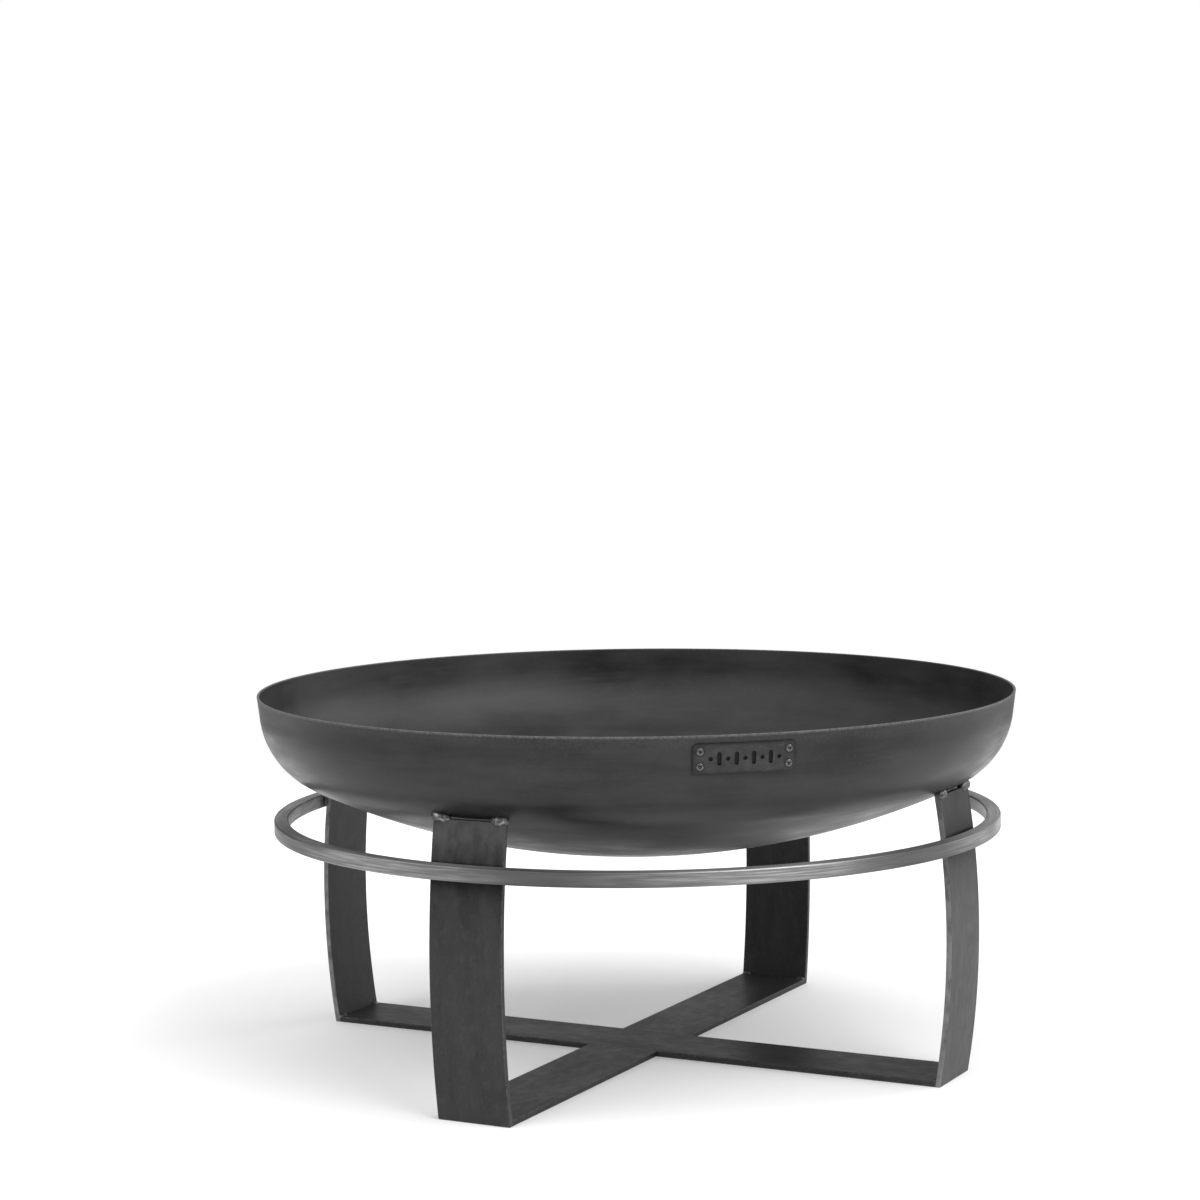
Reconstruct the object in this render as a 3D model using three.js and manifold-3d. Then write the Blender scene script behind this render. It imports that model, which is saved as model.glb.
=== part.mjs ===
// A welded steel fire bowl. A dished bowl stands on four curved flat-bar legs, which a hoop of square
// tube ties together outside and crossed flat bars tie together on the ground. A riveted plate marks
// the front. Millimetres, +Z up, origin on the ground under the bowl's centre, front towards -Y.

import * as THREE from 'three';
import { mergeVertices } from 'three/addons/utils/BufferGeometryUtils.js';
import Module from 'manifold-3d';

const wasm = await Module();
wasm.setup();

// ---- Driving dimensions ----

const CLEARANCE = 0.3; // kept between pieces that touch or are welded
const OVERCUT = 5; // how far a cutting tool runs past the metal it cuts

// Bowl: a torispherical dish with a short flared wall above the knuckle
const RIM_RADIUS = 400;
const RIM_HEIGHT = 386;
const BOWL_SHEET = 2.5;
const WALL_FLARE = radians(7); // from vertical
const WALL_LENGTH = 25;
const KNUCKLE_RADIUS = 85;
const CROWN_RADIUS = 812;
const BOWL_SEGMENTS = 72;
const CROWN_STEPS = 6;
const KNUCKLE_STEPS = 6;

// Flat bar that the legs and the foot are cut from
const BAR_WIDTH = 80;
const BAR_THICKNESS = 6;

// Legs: flat bar rolled to an arc that bulges outwards
const LEG_ROLL_RADIUS = 882; // outer face
const LEG_BULGE_DISTANCE = 371; // from the bowl's axis to the outer face where it is furthest out
const LEG_BULGE_HEIGHT = 148;
const LEG_STEPS = 8;
const FRONT_LEFT = radians(-135);
const FRONT_RIGHT = radians(-45);
const BACK_RIGHT = radians(45);
const BACK_LEFT = radians(135);

// Hoop of square tube
const RING_OUTER_RADIUS = 384.5;
const RING_TUBE = 15;
const RING_WALL = 1.5;
const RING_CORNER = 1.8;
const RING_MIDDLE_HEIGHT = 248;
const RING_SEGMENTS = 72;
const RING_SEAM_AZIMUTH = radians(90);
const RING_SEAM_WELD = 1.4; // along the tube
const RING_SEAM_CROWN = 0.3; // the bead's height over the tube's faces

// Marker plate and its blind rivets
const PLATE_AZIMUTH = radians(-93.5);
const PLATE_WIDTH = 102;
const PLATE_HEIGHT = 29.5;
const PLATE_SHEET = 1.2;
const PLATE_CORNER = 5;
const PLATE_DROP = 22.5; // from the rim to the plate's middle
const PLATE_SEGMENTS = 120; // of the full circle that the plate is a part of
const PATTERN_PITCH = 8.4;
const PATTERN_HOLE_RADIUS = 2.1;
const PATTERN_SLOT_LENGTH = 13;
const PATTERN_COUNT = 9;
const RIVET_SPACING_X = 87.5;
const RIVET_SPACING_Z = 14.5;
const RIVET_SHANK_RADIUS = 2;
const RIVET_HEAD_RADIUS = 3.5;
const RIVET_HEAD_HEIGHT = 1.1;
const RIVET_BORE_RADIUS = 1.3;
const RIVET_BULB_RADIUS = 2.9;
const RIVET_BULB_LENGTH = 3;
const RIVET_BLIND_GAP = 1.3; // the wall's facets and its knuckle lie a little inside the cone
const MANDREL_RADIUS = 0.9;
const MANDREL_HEAD_RADIUS = 1.9;
const MANDREL_HEAD_LENGTH = 1.6;

// Weld beads, each an ellipsoid given by its half sizes: outwards, along the bar's width, upwards
const BOWL_TACK = { half: [4.8, 9.5, 5.5], fromEdge: 9 };
const RING_TACK = { half: [3.2, 3.2, 5.5], pastEdge: 1.5 };
const FOOT_TACK = { half: [4.2, 6, 4.2], fromEdge: 4.5 };
const SEAM_GROOVE = 3; // depth and width of the ground bead where the foot bars meet
const BEAD_SEGMENTS = 10;
const BEAD_RINGS = 6;

// ---- Finishes ----

const rawSteel = new THREE.MeshStandardMaterial({ color: 0x4a4a4b, roughness: 0.55, metalness: 0.6 });
const darkSteel = new THREE.MeshStandardMaterial({ color: 0x444445, roughness: 0.6, metalness: 0.6 });
const brushedSteel = new THREE.MeshStandardMaterial({ color: 0x9a9a9a, roughness: 0.35, metalness: 0.9 });
const plateSteel = new THREE.MeshStandardMaterial({ color: 0x414142, roughness: 0.5, metalness: 0.6 });
const rivetMetal = new THREE.MeshStandardMaterial({ color: 0xa0a0a2, roughness: 0.35, metalness: 0.9 });
const weldMetal = new THREE.MeshStandardMaterial({ color: 0x636363, roughness: 0.45, metalness: 0.8 });

// ---- Geometry helpers ----

function radians(degrees) {
  return (degrees * Math.PI) / 180;
}

// Points on a circle in the (across, up) plane, from one angle to another, both ends included.
function arc(across, up, radius, from, to, steps) {
  const points = [];
  for (let i = 0; i <= steps; i++) {
    const angle = from + ((to - from) * i) / steps;
    points.push(new THREE.Vector2(across + radius * Math.cos(angle), up + radius * Math.sin(angle)));
  }
  return points;
}

// A solid from a closed geometry, with the vertices that its faces share merged.
function solidOf(geometry) {
  const bare = geometry.index ? geometry.toNonIndexed() : geometry.clone();
  bare.deleteAttribute('normal');
  bare.deleteAttribute('uv');
  const merged = mergeVertices(bare, 1e-4);
  return new wasm.Manifold(
    new wasm.Mesh({
      numProp: 3,
      vertProperties: merged.attributes.position.array,
      triVerts: new Uint32Array(merged.index.array),
    }),
  );
}

// A geometry from a solid, flat shaded.
function geometryOf(solid) {
  const { vertProperties, triVerts } = solid.getMesh();
  const geometry = new THREE.BufferGeometry();
  geometry.setAttribute('position', new THREE.BufferAttribute(new Float32Array(vertProperties), 3));
  geometry.setIndex(new THREE.BufferAttribute(new Uint32Array(triVerts), 1));
  const flat = geometry.toNonIndexed();
  flat.computeVertexNormals();
  return flat;
}

// Turns a (radius, height) outline about +Z. The first point of each turn faces the front.
function turned(profile, segments) {
  return new THREE.LatheGeometry(profile, segments).rotateX(Math.PI / 2);
}

// Extrudes an outline in the (outwards, up) plane of a leg across the bar's width, centred on it.
function acrossBar(outline, width) {
  const shape = new THREE.Shape(outline);
  const geometry = new THREE.ExtrudeGeometry(shape, { depth: width, bevelEnabled: false });
  return geometry.translate(0, 0, -width / 2).rotateX(Math.PI / 2);
}

// A weld bead: an ellipsoid of the given half sizes about a centre.
function bead([outwards, along, upwards], centre) {
  const ball = new THREE.SphereGeometry(1, BEAD_SEGMENTS, BEAD_RINGS);
  return solidOf(ball.scale(outwards, along, upwards).translate(...centre));
}

const model = new THREE.Group();

function place(name, geometry, material, parent = model) {
  const mesh = new THREE.Mesh(geometry, material);
  mesh.name = name;
  parent.add(mesh);
  return mesh;
}

// ---- Bowl ----

// Where the flared wall ends and the knuckle begins, on the outer face
const wallFoot = new THREE.Vector2(
  RIM_RADIUS - WALL_LENGTH * Math.sin(WALL_FLARE),
  RIM_HEIGHT - WALL_LENGTH * Math.cos(WALL_FLARE),
);
const knuckleCentre = new THREE.Vector2(
  wallFoot.x - KNUCKLE_RADIUS * Math.cos(WALL_FLARE),
  wallFoot.y + KNUCKLE_RADIUS * Math.sin(WALL_FLARE),
);
// The angle below horizontal at which the knuckle runs smoothly into the crown
const crownAngle = Math.acos(knuckleCentre.x / (CROWN_RADIUS - KNUCKLE_RADIUS));
const crownCentreHeight = knuckleCentre.y + (CROWN_RADIUS - KNUCKLE_RADIUS) * Math.sin(crownAngle);

// The bowl's curve from the axis out to the rim, moved out by an offset from the outer face.
function bowlCurve(offset) {
  const crown = arc(0, crownCentreHeight, CROWN_RADIUS + offset, -Math.PI / 2, -crownAngle, CROWN_STEPS);
  const knuckle = arc(
    knuckleCentre.x,
    knuckleCentre.y,
    KNUCKLE_RADIUS + offset,
    -crownAngle,
    -WALL_FLARE,
    KNUCKLE_STEPS,
  );
  const rim = new THREE.Vector2(RIM_RADIUS + offset / Math.cos(WALL_FLARE), RIM_HEIGHT);
  crown[0].x = 0;
  return [...crown, ...knuckle.slice(1), rim];
}

// Height of the bowl's outer face at a distance from the axis, on the knuckle.
function knuckleHeight(distance) {
  const across = distance - knuckleCentre.x;
  return knuckleCentre.y - Math.sqrt(KNUCKLE_RADIUS ** 2 - across ** 2);
}

// The bowl filled in up to its rim and swollen by the clearance, to cut its neighbours with
const bowlEnvelope = solidOf(
  turned([...bowlCurve(CLEARANCE), new THREE.Vector2(0, RIM_HEIGHT)], BOWL_SEGMENTS),
);

// ---- Marker plate, rivets and the holes for them ----

// Turns a geometry modelled along +X to stand square on the flared wall: +X leaves the bowl, and the
// origin is on the bowl's outer face at the given drop below the rim, measured along the wall.
function ontoWall(geometry, drop, azimuth) {
  const onFace = new THREE.Vector2(
    RIM_RADIUS - drop * Math.sin(WALL_FLARE),
    RIM_HEIGHT - drop * Math.cos(WALL_FLARE),
  );
  return geometry.rotateY(WALL_FLARE).translate(onFace.x, 0, onFace.y).rotateZ(azimuth);
}

// Turns a (radius, distance) outline about +X.
function turnedPin(profile, segments) {
  return new THREE.LatheGeometry(profile, segments).rotateZ(-Math.PI / 2);
}

const rivetPlaces = [
  { name: 'upper_left', side: -1, level: 1 },
  { name: 'upper_right', side: 1, level: 1 },
  { name: 'lower_left', side: -1, level: -1 },
  { name: 'lower_right', side: 1, level: -1 },
].map(({ name, side, level }) => ({
  name,
  drop: PLATE_DROP - (level * RIVET_SPACING_Z) / 2,
  azimuth: PLATE_AZIMUTH + (side * RIVET_SPACING_X) / 2 / RIM_RADIUS,
}));

const plateInner = CLEARANCE; // distances out from the bowl's outer face
const plateOuter = plateInner + PLATE_SHEET;
const bowlInner = -BOWL_SHEET;

function rivetHole({ drop, azimuth }) {
  const radius = RIVET_SHANK_RADIUS + CLEARANCE;
  const pin = new THREE.CylinderGeometry(radius, radius, 2 * OVERCUT + BOWL_SHEET, 12).rotateZ(Math.PI / 2);
  return solidOf(ontoWall(pin, drop, azimuth));
}

const rivetHoles = wasm.Manifold.union(rivetPlaces.map(rivetHole));

function rivetGeometry({ drop, azimuth }) {
  const headBase = plateOuter + CLEARANCE;
  const blindBase = bowlInner - RIVET_BLIND_GAP;
  const blindEnd = blindBase - RIVET_BULB_LENGTH;
  const profile = [
    [RIVET_BORE_RADIUS, blindEnd],
    [RIVET_BULB_RADIUS - 0.6, blindEnd],
    [RIVET_BULB_RADIUS, blindEnd + RIVET_BULB_LENGTH / 2],
    [RIVET_BULB_RADIUS - 0.4, blindBase],
    [RIVET_SHANK_RADIUS, blindBase],
    [RIVET_SHANK_RADIUS, headBase],
    [RIVET_HEAD_RADIUS, headBase],
    [RIVET_HEAD_RADIUS * 0.85, headBase + RIVET_HEAD_HEIGHT * 0.6],
    [RIVET_HEAD_RADIUS * 0.5, headBase + RIVET_HEAD_HEIGHT],
    [RIVET_BORE_RADIUS, headBase + RIVET_HEAD_HEIGHT],
    [RIVET_BORE_RADIUS, blindEnd],
  ].map(([radius, distance]) => new THREE.Vector2(radius, distance));
  return ontoWall(turnedPin(profile, 12), drop, azimuth);
}

function mandrelGeometry({ drop, azimuth }) {
  const blindEnd = bowlInner - RIVET_BLIND_GAP - RIVET_BULB_LENGTH;
  const headBase = blindEnd - CLEARANCE;
  const brokenEnd = plateOuter + CLEARANCE + RIVET_HEAD_HEIGHT * 0.4;
  const profile = [
    [0, headBase - MANDREL_HEAD_LENGTH],
    [MANDREL_HEAD_RADIUS * 0.7, headBase - MANDREL_HEAD_LENGTH],
    [MANDREL_HEAD_RADIUS, headBase - MANDREL_HEAD_LENGTH / 2],
    [MANDREL_HEAD_RADIUS, headBase],
    [MANDREL_RADIUS, headBase],
    [MANDREL_RADIUS, brokenEnd],
    [0, brokenEnd],
  ].map(([radius, distance]) => new THREE.Vector2(radius, distance));
  return ontoWall(turnedPin(profile, 8), drop, azimuth);
}

// The outline of the plate's cut-through pattern: round holes and upright slots in turn.
function patternHole(index) {
  const middle = (index - (PATTERN_COUNT - 1) / 2) * PATTERN_PITCH;
  const half = index % 2 ? PATTERN_SLOT_LENGTH / 2 - PATTERN_HOLE_RADIUS : 0;
  const top = arc(middle, half, PATTERN_HOLE_RADIUS, 0, Math.PI, 5);
  const bottom = arc(middle, -half, PATTERN_HOLE_RADIUS, Math.PI, 2 * Math.PI, 5);
  return new THREE.Path(half ? [...top, ...bottom] : [...top, ...bottom.slice(1, -1)]);
}

function plateOutline() {
  const across = PLATE_WIDTH / 2 - PLATE_CORNER;
  const up = PLATE_HEIGHT / 2 - PLATE_CORNER;
  const shape = new THREE.Shape([
    ...arc(across, up, PLATE_CORNER, 0, Math.PI / 2, 4),
    ...arc(-across, up, PLATE_CORNER, Math.PI / 2, Math.PI, 4),
    ...arc(-across, -up, PLATE_CORNER, Math.PI, 1.5 * Math.PI, 4),
    ...arc(across, -up, PLATE_CORNER, 1.5 * Math.PI, 2 * Math.PI, 4),
  ]);
  for (let i = 0; i < PATTERN_COUNT; i++) shape.holes.push(patternHole(i));
  return shape;
}

// The plate is the part of a cone parallel to the wall that lies inside its outline.
function plateGeometry() {
  const reach = PLATE_HEIGHT;
  const cone = [
    [plateInner, PLATE_DROP + reach],
    [plateOuter, PLATE_DROP + reach],
    [plateOuter, PLATE_DROP - reach],
    [plateInner, PLATE_DROP - reach],
    [plateInner, PLATE_DROP + reach],
  ].map(
    ([out, drop]) =>
      new THREE.Vector2(
        RIM_RADIUS - drop * Math.sin(WALL_FLARE) + out * Math.cos(WALL_FLARE),
        RIM_HEIGHT - drop * Math.cos(WALL_FLARE) - out * Math.sin(WALL_FLARE),
      ),
  );
  const depth = 8 * OVERCUT;
  const prism = new THREE.ExtrudeGeometry(plateOutline(), { depth, bevelEnabled: false });
  prism.translate(0, 0, -depth / 2).rotateX(Math.PI / 2).rotateZ(Math.PI / 2);
  const window = solidOf(ontoWall(prism, PLATE_DROP, PLATE_AZIMUTH));
  return geometryOf(solidOf(turned(cone, PLATE_SEGMENTS)).intersect(window).subtract(rivetHoles));
}

const bowlSkin = turned([...bowlCurve(0), ...bowlCurve(-BOWL_SHEET).reverse()], BOWL_SEGMENTS);
place('bowl', geometryOf(solidOf(bowlSkin).subtract(rivetHoles)), rawSteel);
place('nameplate', plateGeometry(), plateSteel);
for (const spot of rivetPlaces) {
  place(`rivet_${spot.name}`, rivetGeometry(spot), rivetMetal);
  place(`rivet_mandrel_${spot.name}`, mandrelGeometry(spot), rivetMetal);
}

// ---- Hoop ----

// Outline of a square section with cut corners, about its middle.
function tubeOutline(size, corner) {
  const flat = size / 2 - corner;
  return [
    [size / 2, -flat],
    [size / 2, flat],
    [flat, size / 2],
    [-flat, size / 2],
    [-size / 2, flat],
    [-size / 2, -flat],
    [-flat, -size / 2],
    [flat, -size / 2],
  ].map(([across, up]) => new THREE.Vector2(across, up));
}

const ringMiddleRadius = RING_OUTER_RADIUS - RING_TUBE / 2;

function ringSolid(outline) {
  const moved = outline.map(({ x, y }) => new THREE.Vector2(ringMiddleRadius + x, RING_MIDDLE_HEIGHT + y));
  return solidOf(turned([...moved, moved[0]], RING_SEGMENTS));
}

const ringEnvelope = ringSolid(tubeOutline(RING_TUBE + 2 * CLEARANCE, RING_CORNER));

// A slab across the tube, for the gap at the seam and the weld in it.
function seamSlab(outline, thickness) {
  const slab = new THREE.ExtrudeGeometry(new THREE.Shape(outline), { depth: thickness, bevelEnabled: false });
  slab.translate(0, 0, -thickness / 2).rotateX(Math.PI / 2);
  return slab.translate(ringMiddleRadius, 0, RING_MIDDLE_HEIGHT).rotateZ(RING_SEAM_AZIMUTH);
}

function ringTubeGeometry() {
  const hollow = RING_TUBE - 2 * RING_WALL;
  const tube = ringSolid(tubeOutline(RING_TUBE, RING_CORNER)).subtract(ringSolid(tubeOutline(hollow, 0.6)));
  const gap = seamSlab(tubeOutline(RING_TUBE + OVERCUT, 1), RING_SEAM_WELD + 2 * CLEARANCE);
  return geometryOf(tube.subtract(solidOf(gap)));
}

place('ring_tube', ringTubeGeometry(), brushedSteel);
const seamBead = tubeOutline(RING_TUBE + 2 * RING_SEAM_CROWN, RING_CORNER + 0.6);
place('ring_seam_weld', seamSlab(seamBead, RING_SEAM_WELD), brushedSteel);

// ---- Legs ----

const legArcCentre = LEG_BULGE_DISTANCE - LEG_ROLL_RADIUS;

// Distance from the bowl's axis to a leg's face, given the face's roll radius.
function legFace(radius, height) {
  return legArcCentre + Math.sqrt(radius ** 2 - (height - LEG_BULGE_HEIGHT) ** 2);
}

// The legs are cut level just under the bowl, where their inner faces meet it.
function findLegTop() {
  let top = RIM_HEIGHT;
  for (let i = 0; i < 20; i++) {
    top = knuckleHeight(legFace(LEG_ROLL_RADIUS - BAR_THICKNESS, top)) - CLEARANCE;
    top = Math.min(top, RIM_HEIGHT - WALL_LENGTH);
  }
  return top;
}

const LEG_TOP = findLegTop();

// One leg's section, with its faces and ends moved out by a growth.
function legOutline(growth) {
  const outer = LEG_ROLL_RADIUS + growth;
  const inner = LEG_ROLL_RADIUS - BAR_THICKNESS - growth;
  const angleAt = (radius, height) => Math.asin((height - LEG_BULGE_HEIGHT) / radius);
  const low = -growth;
  const high = LEG_TOP + growth;
  return [
    ...arc(legArcCentre, LEG_BULGE_HEIGHT, outer, angleAt(outer, low), angleAt(outer, high), LEG_STEPS),
    ...arc(legArcCentre, LEG_BULGE_HEIGHT, inner, angleAt(inner, high), angleAt(inner, low), LEG_STEPS),
  ];
}

const legEnvelope = solidOf(acrossBar(legOutline(CLEARANCE), BAR_WIDTH + 2 * CLEARANCE));

// ---- Foot bars ----

const footReach = legFace(LEG_ROLL_RADIUS - BAR_THICKNESS, 0) - CLEARANCE;
const footButt = BAR_WIDTH / 2 + CLEARANCE;

// A half bar butts on the through bar's side, with its upper edge ground away for the weld.
const halfBarOutline = [
  [footButt, 0],
  [footReach, 0],
  [footReach, BAR_THICKNESS],
  [footButt + SEAM_GROOVE, BAR_THICKNESS],
  [footButt, BAR_THICKNESS - SEAM_GROOVE],
].map(([across, up]) => new THREE.Vector2(across, up));

const seamOutline = [
  [footButt, BAR_THICKNESS],
  [footButt, BAR_THICKNESS - SEAM_GROOVE + 2 * CLEARANCE],
  [footButt + SEAM_GROOVE - 2 * CLEARANCE, BAR_THICKNESS],
].map(([across, up]) => new THREE.Vector2(across, up));

// The bar swollen by the clearance and run on into the leg, so that a bead keeps out of the joint.
function barEnvelope() {
  const long = footReach + OVERCUT;
  const box = new THREE.BoxGeometry(long, BAR_WIDTH + 2 * CLEARANCE, BAR_THICKNESS + 2 * CLEARANCE);
  return solidOf(box.translate(long / 2, 0, BAR_THICKNESS / 2));
}

const throughBar = new THREE.BoxGeometry(2 * footReach, BAR_WIDTH, BAR_THICKNESS);
throughBar.translate(0, 0, BAR_THICKNESS / 2);
place('foot_bar_through', throughBar, darkSteel).rotation.z = BACK_LEFT;

// ---- The four legs with their welds, each in a group turned to face outwards along +X ----

function bowlTack(side) {
  const along = side * (BAR_WIDTH / 2 - BOWL_TACK.fromEdge);
  const outerEdge = legFace(LEG_ROLL_RADIUS, LEG_TOP) - 1;
  const tack = bead(BOWL_TACK.half, [outerEdge, along, LEG_TOP + 1]);
  return geometryOf(tack.subtract(legEnvelope).subtract(bowlEnvelope));
}

function ringTack(side) {
  const along = side * (BAR_WIDTH / 2 + RING_TACK.pastEdge);
  const atFace = legFace(LEG_ROLL_RADIUS, RING_MIDDLE_HEIGHT);
  const tack = bead(RING_TACK.half, [atFace, along, RING_MIDDLE_HEIGHT]);
  return geometryOf(tack.subtract(legEnvelope).subtract(ringEnvelope));
}

function footTack(side) {
  const along = side * (BAR_WIDTH / 2 - FOOT_TACK.fromEdge);
  const tack = bead(FOOT_TACK.half, [footReach, along, BAR_THICKNESS]);
  return geometryOf(tack.subtract(legEnvelope).subtract(barEnvelope()));
}

const corners = [
  { name: 'front_left', azimuth: FRONT_LEFT, halfBar: true },
  { name: 'front_right', azimuth: FRONT_RIGHT, halfBar: false },
  { name: 'back_right', azimuth: BACK_RIGHT, halfBar: true },
  { name: 'back_left', azimuth: BACK_LEFT, halfBar: false },
];

for (const { name, azimuth, halfBar } of corners) {
  const corner = new THREE.Group();
  corner.rotation.z = azimuth;
  model.add(corner);
  place(`leg_${name}`, acrossBar(legOutline(0), BAR_WIDTH), darkSteel, corner);
  if (halfBar) {
    place(`foot_bar_${name}`, acrossBar(halfBarOutline, BAR_WIDTH), darkSteel, corner);
    place(`foot_seam_weld_${name}`, acrossBar(seamOutline, BAR_WIDTH), weldMetal, corner);
  }
  for (const [hand, side] of [['a', 1], ['b', -1]]) {
    place(`bowl_tack_${name}_${hand}`, bowlTack(side), weldMetal, corner);
    place(`ring_tack_${name}_${hand}`, ringTack(side), weldMetal, corner);
    place(`foot_tack_${name}_${hand}`, footTack(side), weldMetal, corner);
  }
}

export default model;
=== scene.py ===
"""Looks of a welded steel fire bowl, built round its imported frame. Metres, +Z up, front towards -Y."""

import math
import random

import bmesh
import bpy
from mathutils import Matrix, Vector, noise


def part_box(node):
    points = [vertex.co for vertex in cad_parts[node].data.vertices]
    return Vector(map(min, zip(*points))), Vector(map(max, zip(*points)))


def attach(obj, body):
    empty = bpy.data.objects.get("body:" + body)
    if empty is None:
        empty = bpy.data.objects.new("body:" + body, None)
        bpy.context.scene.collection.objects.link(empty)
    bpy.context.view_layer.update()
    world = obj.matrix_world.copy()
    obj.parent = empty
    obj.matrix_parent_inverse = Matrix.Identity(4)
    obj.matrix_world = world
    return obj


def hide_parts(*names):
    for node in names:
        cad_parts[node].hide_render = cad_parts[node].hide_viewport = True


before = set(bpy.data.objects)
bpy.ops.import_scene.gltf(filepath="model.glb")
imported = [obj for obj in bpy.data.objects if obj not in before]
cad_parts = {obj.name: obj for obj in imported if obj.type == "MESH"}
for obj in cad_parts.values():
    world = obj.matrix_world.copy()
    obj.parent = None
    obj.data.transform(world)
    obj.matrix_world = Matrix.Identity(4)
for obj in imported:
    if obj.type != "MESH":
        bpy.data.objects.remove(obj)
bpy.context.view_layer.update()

MM = 0.001

# ---- Sizes from the frame, and the few that its boxes don't show ----

bowl_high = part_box("bowl")[1]
leg_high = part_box("leg_front_left")[1]
bar_low, bar_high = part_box("foot_bar_through")
ring_low, ring_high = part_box("ring_tube")

RIM_RADIUS = bowl_high.x
RIM_HEIGHT = bowl_high.z
BOWL_SHEET = 2.5 * MM
WALL_FLARE = math.radians(7)
WALL_LENGTH = 25 * MM
KNUCKLE_RADIUS = 85 * MM
CROWN_RADIUS = 812 * MM
RIM_ROUND = 0.5 * MM

BAR_WIDTH = 80 * MM
BAR_THICKNESS = bar_high.z - bar_low.z
BAR_CORNER = 0.9 * MM
BAR_END_ROUND = 0.4 * MM
EDGE_SUPPORT = 1.2 * MM  # a row of points this far from a rounded edge keeps the flat beside it flat

LEG_TOP = leg_high.z
LEG_END_ROUND = 0.7 * MM
LEG_ROLL_RADIUS = 882 * MM
LEG_BULGE_DISTANCE = 371 * MM
LEG_BULGE_HEIGHT = 148 * MM

RING_TUBE = ring_high.z - ring_low.z
RING_CORNER = 1.9 * MM
RING_MIDDLE_RADIUS = ring_high.x - RING_TUBE / 2
RING_MIDDLE_HEIGHT = (ring_low.z + ring_high.z) / 2
RING_SEAM_AZIMUTH = math.radians(90)
RING_SEAM_HALF_WIDTH = 2.6 * MM
RING_SEAM_CROWN = 0.28 * MM

PLATE_WIDTH = 102 * MM
PLATE_HEIGHT = 29.5 * MM
PLATE_SHEET = 1.2 * MM
PLATE_GAP = 0.3 * MM
PLATE_CORNER = 5 * MM
PLATE_DROP = 22.5 * MM
PLATE_AZIMUTH = math.radians(-93.5)
RIVET_ACROSS = 43.75 * MM
RIVET_UP = 7.25 * MM
RIVET_HEAD = 3.5 * MM
RIVET_SHANK = 2.0 * MM
RIVET_BORE = 1.25 * MM
PATTERN_PITCH = 8.4 * MM
PATTERN_HOLE_RADIUS = 2.1 * MM
PATTERN_SLOT_LENGTH = 13 * MM
PATTERN_COUNT = 9

CORNERS = {"front_left": -135, "front_right": -45, "back_right": 45, "back_left": 135}
HALF_BARS = ("front_left", "back_right")
RIVETS = ("upper_left", "upper_right", "lower_left", "lower_right")
HANDS = ("a", "b")
UP = Vector((0, 0, 1))

# ---- How the steel was worked, and where light and shade are painted on it, as tints from 0 to 1 ----

RIM_LIGHT_BAND = 0.15  # painted light: a pale band on the bowl's wall, which fades out at a drop below the rim
UNDER_RIM_DROP = 18 * MM
BARE_STRIP = ((1.2 * MM, 0.9, 1.0), (2.6 * MM, RIM_LIGHT_BAND, 0.0))  # drop below the rim, edge, dullness
SOFT_EDGE = 0.3  # beside a bar's worn edge
GAP_SHADE = 0.75  # on the bowl, over each leg's top
GAP_SHADE_REACH = 13 * MM

SMOKED_CORNERS = ("front_right", "back_left")  # where the welds at the leg's top are dark
# How much paler each leg's narrow sides are, and how much painted light its upper part has.
PALE_SIDES = {"front_left": 0.0, "front_right": 1.0, "back_right": 0.0, "back_left": 1.0}
PAINTED_TOP_LIGHT = {"front_left": 0.8, "front_right": 0.0, "back_right": 1.0, "back_left": 0.2}
WELD_GLOW = 0.2
LEG_WELD_REACH = 16 * MM
BAR_WELD_REACH = 13 * MM
HOOP_WELD_REACH = 7 * MM
HOOP_SHADE_REACH = 11 * MM  # of the dark band on each leg under the hoop
THROUGH_SIDE_DARK = 0.1  # painted shade on the narrow sides of the through bar
HALF_SIDE_DARK = 0.9  # painted shade on the narrow sides of the half bars

HOOP_HIGHLIGHT_STRETCHES = 6  # painted highlights in stretches round the hoop, with a duller stretch between each and the next
# painted highlight on the hoop's top face and upper corners
HOOP_TOP_HIGHLIGHT = 0.35
# painted shade on the hoop's underside, and on its upper corners between the highlight stretches
HOOP_UNDER_SHADE = 0.85
HOOP_CORNER_SHADE = 0.75

# ---- Camera and studio ----

# The camera stands where the photograph was taken from. Its heading is off the way to the axis.
CAMERA_AZIMUTH = math.radians(-108.3)
CAMERA_DISTANCE = 3.188
CAMERA_HEIGHT = 0.757
CAMERA_HEADING = math.radians(0.662)
CAMERA_PITCH = math.radians(4.976)
CAMERA_ROLL = math.radians(0.66)
CAMERA_LENS = 90.65
CAMERA_SENSOR = 36

FLOOR_RADIUS = 2.0
FLOOR_DROP = 0.2 * MM
FLOOR_GLOW = 0.12
STUDIO_LEVEL = 0.06

# A light's way is given in degrees to the right of the camera and in degrees up.
GLOW_EDGE = -0.2  # cosine of the angle at which a glow ends
GLOWS = (  # right, up, sharpness, strength
    (0, 90, 2.5, 1.2),
    (125, -8, 6.0, 0.25),
    (-100, 15, 4.0, 0.15),
    (-170, -8, 8.0, 0.5),
)
SUNS = (  # name, right, up, strength, spread in degrees
    ("key_light", 54, 40, 2.25, 50),
    ("fill_light", -42, 38, 1.2, 50),
    ("back_light", 114, 22, 0.9, 40),
)


def centre_of(node):
    low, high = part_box(node)
    return (low + high) / 2


# ---- Mesh building ----


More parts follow.
